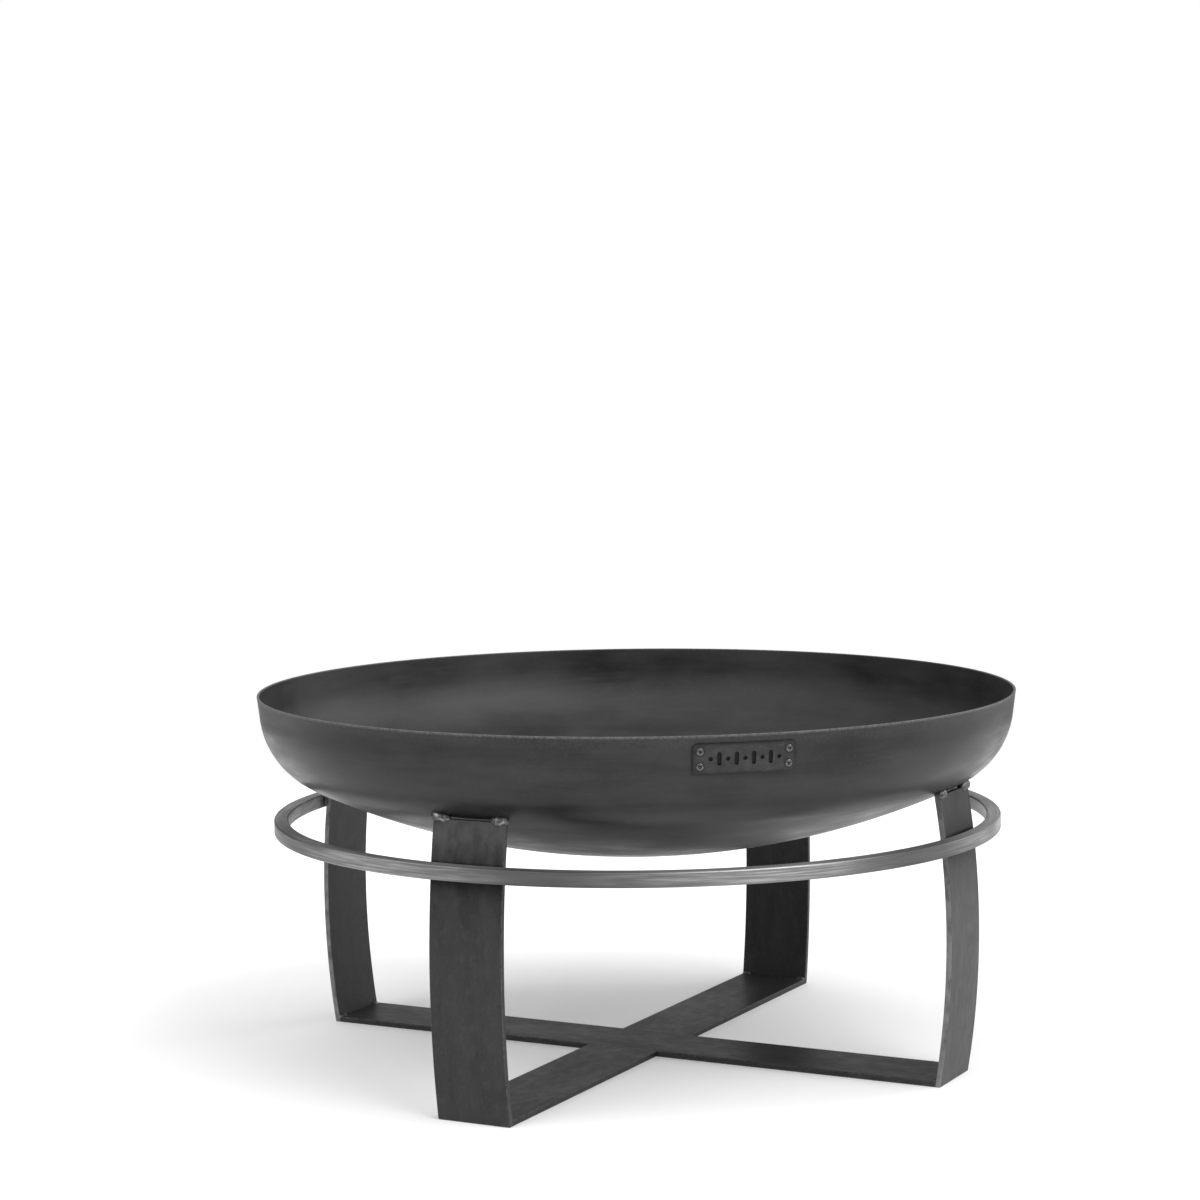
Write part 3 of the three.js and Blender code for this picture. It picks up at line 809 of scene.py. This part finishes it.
def tube_ring(shell, azimuth, along, outline, growth=0.0):
    """One slice of the hoop, its section grown on every side."""
    ring = []
    share = 1 + 2 * growth / RING_TUBE
    tacks = list(RING_TACKS.values())
    wander = 0.6 * noise.noise(outward(azimuth) * 1.5)
    # painted highlights in stretches round the hoop
    highlight_stretch = 0.5 + 0.5 * math.cos(HOOP_HIGHLIGHT_STRETCHES * (azimuth + math.pi / 2) + wander)
    for (out, up, edge), around in zip(outline, round_length(outline)):
        distance = RING_MIDDLE_RADIUS + out * share
        point = outward(azimuth) * distance + UP * (RING_MIDDLE_HEIGHT + up * share)
        # painted shade towards the underside
        dull_and_shaded = ramp(-up, 0.25 * RING_TUBE, 0.5 * RING_TUBE) * (1 - 0.5 * highlight_stretch)
        # painted shade on the upper corners between the highlight stretches
        corner_shade = edge * (1 - highlight_stretch) if up > 0 else 0.0
        on_top = ramp(up, 0.49 * RING_TUBE, 0.499 * RING_TUBE)
        tints = {
            # painted highlight on the top face and the upper corners
            "edge": HOOP_TOP_HIGHLIGHT * max(edge * highlight_stretch * (1 - dull_and_shaded), on_top),
            "warmed": nearness(point, tacks, HOOP_WELD_REACH),
            "dark": max(HOOP_UNDER_SHADE * dull_and_shaded, HOOP_CORNER_SHADE * corner_shade),
            "shine": highlight_stretch,
        }
        ring.append(shell.add(point, (along, around, 0), **tints))
    return ring


def make_ring():
    """The tube, rolled to a hoop with both ends meeting at the seam."""
    segments = 432
    outline = tube_section(RING_TUBE, RING_CORNER)
    shell = Shell()
    rings = []
    for i in range(segments + 1):
        turn = 2 * math.pi * i / segments
        rings.append(tube_ring(shell, RING_SEAM_AZIMUTH + turn, turn * RING_MIDDLE_RADIUS, outline))
    shell.loft(rings)
    declare(shell.to_object("hoop_tube", BRUSHED_STEEL), "ring_steel", "ring_tube")


def make_ring_seam():
    """The butt weld at the hoop's seam, sanded nearly flush, its edges sunk in the tube."""
    half_steps = 6
    sunk = 0.05 * MM
    outline = tube_section(RING_TUBE, RING_CORNER)
    shell = Shell()
    rings = []
    for i in range(-half_steps, half_steps + 1):
        along = RING_SEAM_HALF_WIDTH * i / half_steps
        growth = RING_SEAM_CROWN * (1 - (i / half_steps) ** 2) - sunk
        azimuth = RING_SEAM_AZIMUTH + along / RING_MIDDLE_RADIUS
        rings.append(tube_ring(shell, azimuth, along, outline, growth))
    shell.loft(rings)
    declare(shell.to_object("hoop_seam_weld", WELD_METAL), "ring_steel", "ring_seam_weld")


make_ring()
make_ring_seam()

# ---- Weld beads ----

WELD_VOXEL = 0.32 * MM
WELD_ROUGHNESS = ((420, 0.16 * MM), (170, 0.35 * MM))  # bumps to the metre, and their size


def held_outside(point, depth):
    """A point no deeper in the bowl's sheet than a depth under its outer face."""
    radius = math.hypot(point.x, point.y)
    centre_radius, centre_height, curve = 0.0, crown_centre_height, CROWN_RADIUS
    if math.atan2(crown_centre_height - point.z, radius) < crown_angle:
        centre_radius, centre_height = knuckle_centre
        curve = KNUCKLE_RADIUS
    centre = Vector((point.x, point.y, 0)) * (centre_radius / radius) + UP * centre_height
    away = point - centre
    return centre + away * max(1, (curve - depth) / away.length)


def puddles(draw, centre, axes, half, count):
    """Two or more round puddles laid along the first axis, one over the other, as one mesh."""
    radius = half[0] / count + 0.3 * half[0]
    shape = bmesh.new()
    for i in range(count):
        along = (half[0] - radius) * (2 * i / (count - 1) - 1)
        sway = [draw.uniform(-0.12, 0.12) * size for size in half]
        place = centre + axes[0] * (along + sway[0]) + axes[1] * sway[1] + axes[2] * sway[2]
        swell = draw.uniform(0.86, 1.04)
        sizes = (radius * draw.uniform(0.95, 1.05), half[1] * swell, half[2] * swell)
        stretched = Matrix([axis * size for axis, size in zip(axes, sizes)]).transposed().to_4x4()
        placed = Matrix.Translation(place) @ stretched
        bmesh.ops.create_icosphere(shape, subdivisions=4, radius=1, matrix=placed)
    mesh = bpy.data.meshes.new("puddles")
    shape.to_mesh(mesh)
    shape.free()
    return mesh


def make_bead(name, node, centre, axes, half, count, material=WELD_METAL):
    """A weld bead of half its length, width and depth along its axes: melted puddles, a little rough.

    Where it reaches the bowl it is kept from coming out on the bowl's inside.
    """
    holder = bpy.data.objects.new(name, puddles(random.Random(name), centre, axes, half, count))
    bpy.context.scene.collection.objects.link(holder)
    melt = holder.modifiers.new("melt", "REMESH")
    melt.mode = "VOXEL"
    melt.voxel_size = WELD_VOXEL
    soften = holder.modifiers.new("soften", "SMOOTH")
    soften.iterations = 6
    mesh = evaluated_mesh(holder)
    bpy.data.objects.remove(holder)
    for vertex, normal in [(v, v.normal.copy()) for v in mesh.vertices]:
        rough = sum(noise.noise(vertex.co * scale) * size for scale, size in WELD_ROUGHNESS)
        vertex.co = held_outside(vertex.co + normal * rough, BOWL_SHEET / 2)
    mesh.materials.clear()
    declare(finished(name, mesh, material), "weld_metal", node)


def make_corner_welds(corner, degrees):
    """A leg's six tacks: two to the bowl, two to the hoop and two to its foot bar."""
    azimuth = math.radians(degrees)
    out, side = outward(azimuth), sideways(azimuth)
    draw = random.Random("welds_" + corner)
    top_face = leg_face(LEG_ROLL_RADIUS, LEG_TOP)
    hoop_face = leg_face(LEG_ROLL_RADIUS, RING_MIDDLE_HEIGHT)
    for hand, sign in zip(HANDS, (1, -1)):
        key = f"{corner}_{hand}"
        across = sign * (BAR_WIDTH / 2 - draw.uniform(7.6, 8.8) * MM)
        place = out * (top_face - 1.2 * MM) + side * across + UP * (LEG_TOP + 1.2 * MM)
        half = (draw.uniform(9.4, 10.4) * MM, 4.9 * MM, 5.5 * MM)
        count = draw.choice((3, 4))
        material = SMOKED_WELD if corner in SMOKED_CORNERS else WELD_METAL
        make_bead(f"leg_top_weld_{key}", f"bowl_tack_{key}", place, (side, out, UP), half, count, material)

        across = sign * (BAR_WIDTH / 2 + 0.4 * MM)
        place = out * (hoop_face + 0.6 * MM) + side * across + UP * RING_MIDDLE_HEIGHT
        half = (5.4 * MM, 2.8 * MM, 2.6 * MM)
        make_bead(f"hoop_weld_{key}", f"ring_tack_{key}", place, (UP, out, side), half, 2)

        across = sign * (BAR_WIDTH / 2 - 5.6 * MM)
        place = out * (foot_reach - 0.3 * MM) + side * across + UP * BAR_THICKNESS
        half = (draw.uniform(5.0, 5.6) * MM, 3.2 * MM, 2.7 * MM)
        make_bead(f"foot_weld_{key}", f"foot_tack_{key}", place, (side, out, UP), half, 2)


def make_foot_seam(corner):
    """The weld between a half bar and the through bar, ground almost flush with their tops."""
    azimuth = math.radians(CORNERS[corner])
    out, side = outward(azimuth), sideways(azimuth)
    centre = out * (BAR_WIDTH / 2) + UP * (BAR_THICKNESS - 0.55 * MM)
    shift = random_offset("seam_" + corner)
    shell = Shell()
    rings = []
    steps, around = 96, 20
    half_length = BAR_WIDTH / 2 - 0.4 * MM
    half_width, half_height = 2.7 * MM, 0.68 * MM
    for i in range(steps + 1):
        along = half_length * (2 * i / steps - 1)
        taper = math.sqrt(max(0.02, 1 - (along / half_length) ** 8))
        wander = 1 + 0.35 * noise.noise(Vector((along * 130, 0, 0)) + shift)
        ring = []
        for j in range(around):
            angle = 2 * math.pi * j / around
            width = half_width * taper * wander * math.cos(angle)
            height = half_height * taper * math.sin(angle)
            point = centre + out * width + side * along + UP * height
            ring.append(shell.add(point, Vector((width, along, 0)) + shift, warmed=0.35))
        rings.append(ring)
    shell.loft(rings)
    piece = shell.to_object(f"crossing_weld_{corner}", LIT_FOOT_STEEL)
    declare(piece, "weld_metal", f"foot_seam_weld_{corner}")


for corner, degrees in CORNERS.items():
    make_corner_welds(corner, degrees)
for corner in HALF_BARS:
    make_foot_seam(corner)

# ---- Marker plate and rivets ----


def rounded_rectangle(width, height, corner, steps):
    across, up = width / 2 - corner, height / 2 - corner
    outline = []
    for quarter, (right, top) in enumerate(((1, 1), (-1, 1), (-1, -1), (1, -1))):
        start = quarter * math.pi / 2
        outline += arc(right * across, top * up, corner, start, start + math.pi / 2, steps)
    return outline


def pattern_outlines():
    """Round holes and upright slots in turn, in a row across the plate."""
    outlines = []
    for index in range(PATTERN_COUNT):
        middle = (index - (PATTERN_COUNT - 1) / 2) * PATTERN_PITCH
        half = (PATTERN_SLOT_LENGTH / 2 - PATTERN_HOLE_RADIUS) if index % 2 else 0.0
        top = arc(middle, half, PATTERN_HOLE_RADIUS, 0, math.pi, 12)
        bottom = arc(middle, -half, PATTERN_HOLE_RADIUS, math.pi, 2 * math.pi, 12)
        outlines.append(top + bottom if half else top + bottom[1:-1])
    return outlines


def flat_plate(bevel):
    """The plate before it is bent: X across, Y up, Z through the sheet."""
    curve = bpy.data.curves.new("plate_outline", "CURVE")
    curve.dimensions = "2D"
    curve.fill_mode = "BOTH"
    curve.extrude = PLATE_SHEET / 2 - bevel
    curve.bevel_depth = bevel
    curve.bevel_resolution = 2
    curve.offset = -bevel
    for outline in [rounded_rectangle(PLATE_WIDTH, PLATE_HEIGHT, PLATE_CORNER, 10)] + pattern_outlines():
        spline = curve.splines.new("POLY")
        spline.points.add(len(outline) - 1)
        spline.use_cyclic_u = True
        for point, (x, y) in zip(spline.points, outline):
            point.co = (x, y, 0, 1)
    holder = bpy.data.objects.new("plate_outline", curve)
    bpy.context.scene.collection.objects.link(holder)
    mesh = evaluated_mesh(holder)
    bpy.data.objects.remove(holder)
    bpy.data.curves.remove(curve)
    return mesh


def cut_in_strips(mesh, strip):
    """Joins a flat mesh's doubled points and cuts it across, so that it can bend."""
    shape = bmesh.new()
    shape.from_mesh(mesh)
    bmesh.ops.remove_doubles(shape, verts=shape.verts, dist=0.002 * MM)
    reach = int(PLATE_WIDTH / 2 / strip)
    for i in range(-reach, reach + 1):
        everything = shape.verts[:] + shape.edges[:] + shape.faces[:]
        bmesh.ops.bisect_plane(shape, geom=everything, plane_co=(i * strip, 0, 0), plane_no=(1, 0, 0))
    mesh.clear_geometry()
    shape.to_mesh(mesh)
    shape.free()


def make_plate():
    """The plate, bent round the bowl's wall and a gap off it."""
    mesh = flat_plate(0.18 * MM)
    cut_in_strips(mesh, 2 * MM)
    mesh.materials.clear()
    flow = mesh.attributes.new("flow", "FLOAT_VECTOR", "POINT")
    for i, vertex in enumerate(mesh.vertices):
        across, up, through = vertex.co
        flow.data[i].vector = (across, up, through)
        azimuth = PLATE_AZIMUTH + across / RIM_RADIUS
        out = PLATE_GAP + PLATE_SHEET / 2 + through
        vertex.co = wall_frame(PLATE_DROP - up, azimuth) @ Vector((out, 0, 0))
    declare(finished("front_plate", mesh, PLATE_STEEL), "plate_steel", "nameplate")


def turned_pin(name, node, slot, material, frame_at, profile, segments=48):
    """A pin turned about its frame's X axis from (radius, distance) points."""
    shell = Shell()
    rings = []
    for radius, distance in profile:
        ring = []
        for j in range(segments):
            angle = 2 * math.pi * j / segments
            local = Vector((distance, radius * math.cos(angle), radius * math.sin(angle)))
            ring.append(shell.add(frame_at @ local))
        rings.append(ring)
    shell.loft(rings)
    declare(shell.to_object(name, material), slot, node)


def make_rivet(spot):
    """A blind rivet: low domed head with a dished bore outside, its squashed tail inside the bowl."""
    level, hand = spot.split("_")
    drop = PLATE_DROP - RIVET_UP * (1 if level == "upper" else -1)
    azimuth = PLATE_AZIMUTH + RIVET_ACROSS / RIM_RADIUS * (1 if hand == "right" else -1)
    at = wall_frame(drop, azimuth)
    base = PLATE_GAP + PLATE_SHEET
    tail = -BOWL_SHEET - 0.2 * MM
    bore, head, shank = RIVET_BORE, RIVET_HEAD, RIVET_SHANK
    dish = [(bore, 0.7 * MM), (bore + 0.15 * MM, 0.98 * MM), (bore + 0.45 * MM, 1.12 * MM)]
    turns = (1.1, 0.95, 0.75, 0.5, 0.25, 0)
    dome = [(head * math.cos(a), 0.35 * MM + 0.85 * MM * math.sin(a)) for a in turns]
    lip = [(head, 0.08 * MM), (head - 0.1 * MM, -0.02 * MM), (shank, -0.02 * MM)]
    turns = (-1.2, -0.8, -0.4, 0, 0.4, 0.8, 1.1)
    bulb = [(2.9 * MM * math.cos(a), tail - 1.9 * MM - 1.9 * MM * math.sin(a)) for a in turns]
    profile = [(radius, base + rise) for radius, rise in [(bore, -0.4 * MM), *dish, *dome, *lip]]
    profile += [(shank, tail + 0.1 * MM), *bulb, (bore * 0.8, tail - 3.7 * MM)]
    turned_pin(f"blind_rivet_{spot}", f"rivet_{spot}", "rivet_metal", RIVET_METAL, at, profile)
    make_mandrel(spot, at, base, tail)


def make_mandrel(spot, at, base, tail):
    """The broken pin left in a rivet: a torn tip in the bore and its round head in the tail."""
    name, node = f"rivet_pin_{spot}", f"rivet_mandrel_{spot}"
    stem, ball = 0.95 * MM, 1.9 * MM
    tip = base + 0.45 * MM
    back = tail - 3.6 * MM
    turns = (-0.9, -0.4, 0, 0.4, 0.8, 1.2)
    round_head = [(ball * math.cos(a), back - 0.8 * MM - 0.9 * MM * math.sin(a)) for a in turns]
    profile = [(stem * 0.4, tip), (stem * 0.8, tip - 0.05 * MM), (stem, tip - 0.25 * MM), (stem, back)]
    profile += round_head
    turned_pin(name, node, "mandrel_steel", MANDREL_METAL, at, profile, 32)


make_plate()
for spot in RIVETS:
    make_rivet(spot)

# ---- Stage, light and camera ----


def make_floor():
    """A round pale floor just under the feet, its edge lost against the white behind it."""
    mesh = bpy.data.meshes.new("floor")
    shape = bmesh.new()
    bmesh.ops.create_circle(shape, cap_ends=True, radius=FLOOR_RADIUS, segments=128)
    shape.to_mesh(mesh)
    shape.free()
    mesh.materials.append(floor_paint())
    floor = bpy.data.objects.new("floor", mesh)
    floor.location.z = -FLOOR_DROP
    bpy.context.scene.collection.objects.link(floor)


def make_camera():
    """The camera looks towards the axis from the front left, turned, tipped and rolled a little."""
    camera = bpy.data.objects.new("camera", bpy.data.cameras.new("camera"))
    camera.data.lens = CAMERA_LENS
    camera.data.sensor_width = CAMERA_SENSOR
    heading = CAMERA_AZIMUTH + math.pi + CAMERA_HEADING
    ahead = outward(heading) * math.cos(CAMERA_PITCH) - UP * math.sin(CAMERA_PITCH)
    right = -sideways(heading)
    above = right.cross(ahead)
    rolled_right = right * math.cos(CAMERA_ROLL) - above * math.sin(CAMERA_ROLL)
    rolled_up = above * math.cos(CAMERA_ROLL) + right * math.sin(CAMERA_ROLL)
    turn = Matrix((rolled_right, rolled_up, -ahead)).transposed().to_4x4()
    place = outward(CAMERA_AZIMUTH) * CAMERA_DISTANCE + UP * CAMERA_HEIGHT
    camera.matrix_world = Matrix.Translation(place) @ turn
    bpy.context.scene.collection.objects.link(camera)
    bpy.context.scene.camera = camera


def direction(right_of_camera, elevation):
    """The way to a light, given in degrees from the camera's side of the object."""
    azimuth = CAMERA_AZIMUTH + math.radians(right_of_camera)
    height = math.radians(elevation)
    return outward(azimuth) * math.cos(height) + UP * math.sin(height)


def make_sun(name, right_of_camera, elevation, strength, spread):
    """A broad, even light."""
    light = bpy.data.lights.new(name, "SUN")
    light.energy = strength
    light.angle = math.radians(spread)
    lamp = bpy.data.objects.new(name, light)
    towards = direction(right_of_camera, elevation)
    lamp.rotation_euler = towards.to_track_quat("Z", "Y").to_euler()
    bpy.context.scene.collection.objects.link(lamp)


def make_world():
    """White to the camera. As a light: dim at eye level, with broad soft glows above and behind."""
    world = bpy.data.worlds.new("studio")
    world.use_nodes = True
    n = Tree(world.node_tree)
    way = n.new("ShaderNodeTexCoord").outputs["Generated"]
    total = STUDIO_LEVEL
    for right_of_camera, elevation, sharpness, strength in GLOWS:
        towards = {0: way, 1: direction(right_of_camera, elevation)}
        cosine = n.new("ShaderNodeVectorMath", towards, operation="DOT_PRODUCT").outputs["Value"]
        near = n.new("ShaderNodeMapRange", {"Value": cosine, "From Min": GLOW_EDGE}).outputs["Result"]
        total = n.math("MULTIPLY_ADD", n.math("POWER", near, sharpness), strength, total)
    seen = n.new("ShaderNodeLightPath").outputs["Is Camera Ray"]
    level = n.new("ShaderNodeMix", {"Factor": seen, "A": total, "B": 1.0}).outputs["Result"]
    background = n.tree.nodes["Background"]
    background.inputs["Color"].default_value = as_colour(1.0)
    n.link(level, background.inputs["Strength"])
    bpy.context.scene.world = world
    bpy.context.scene.view_settings.view_transform = "Standard"


make_floor()
make_camera()
for sun in SUNS:
    make_sun(*sun)
make_world()
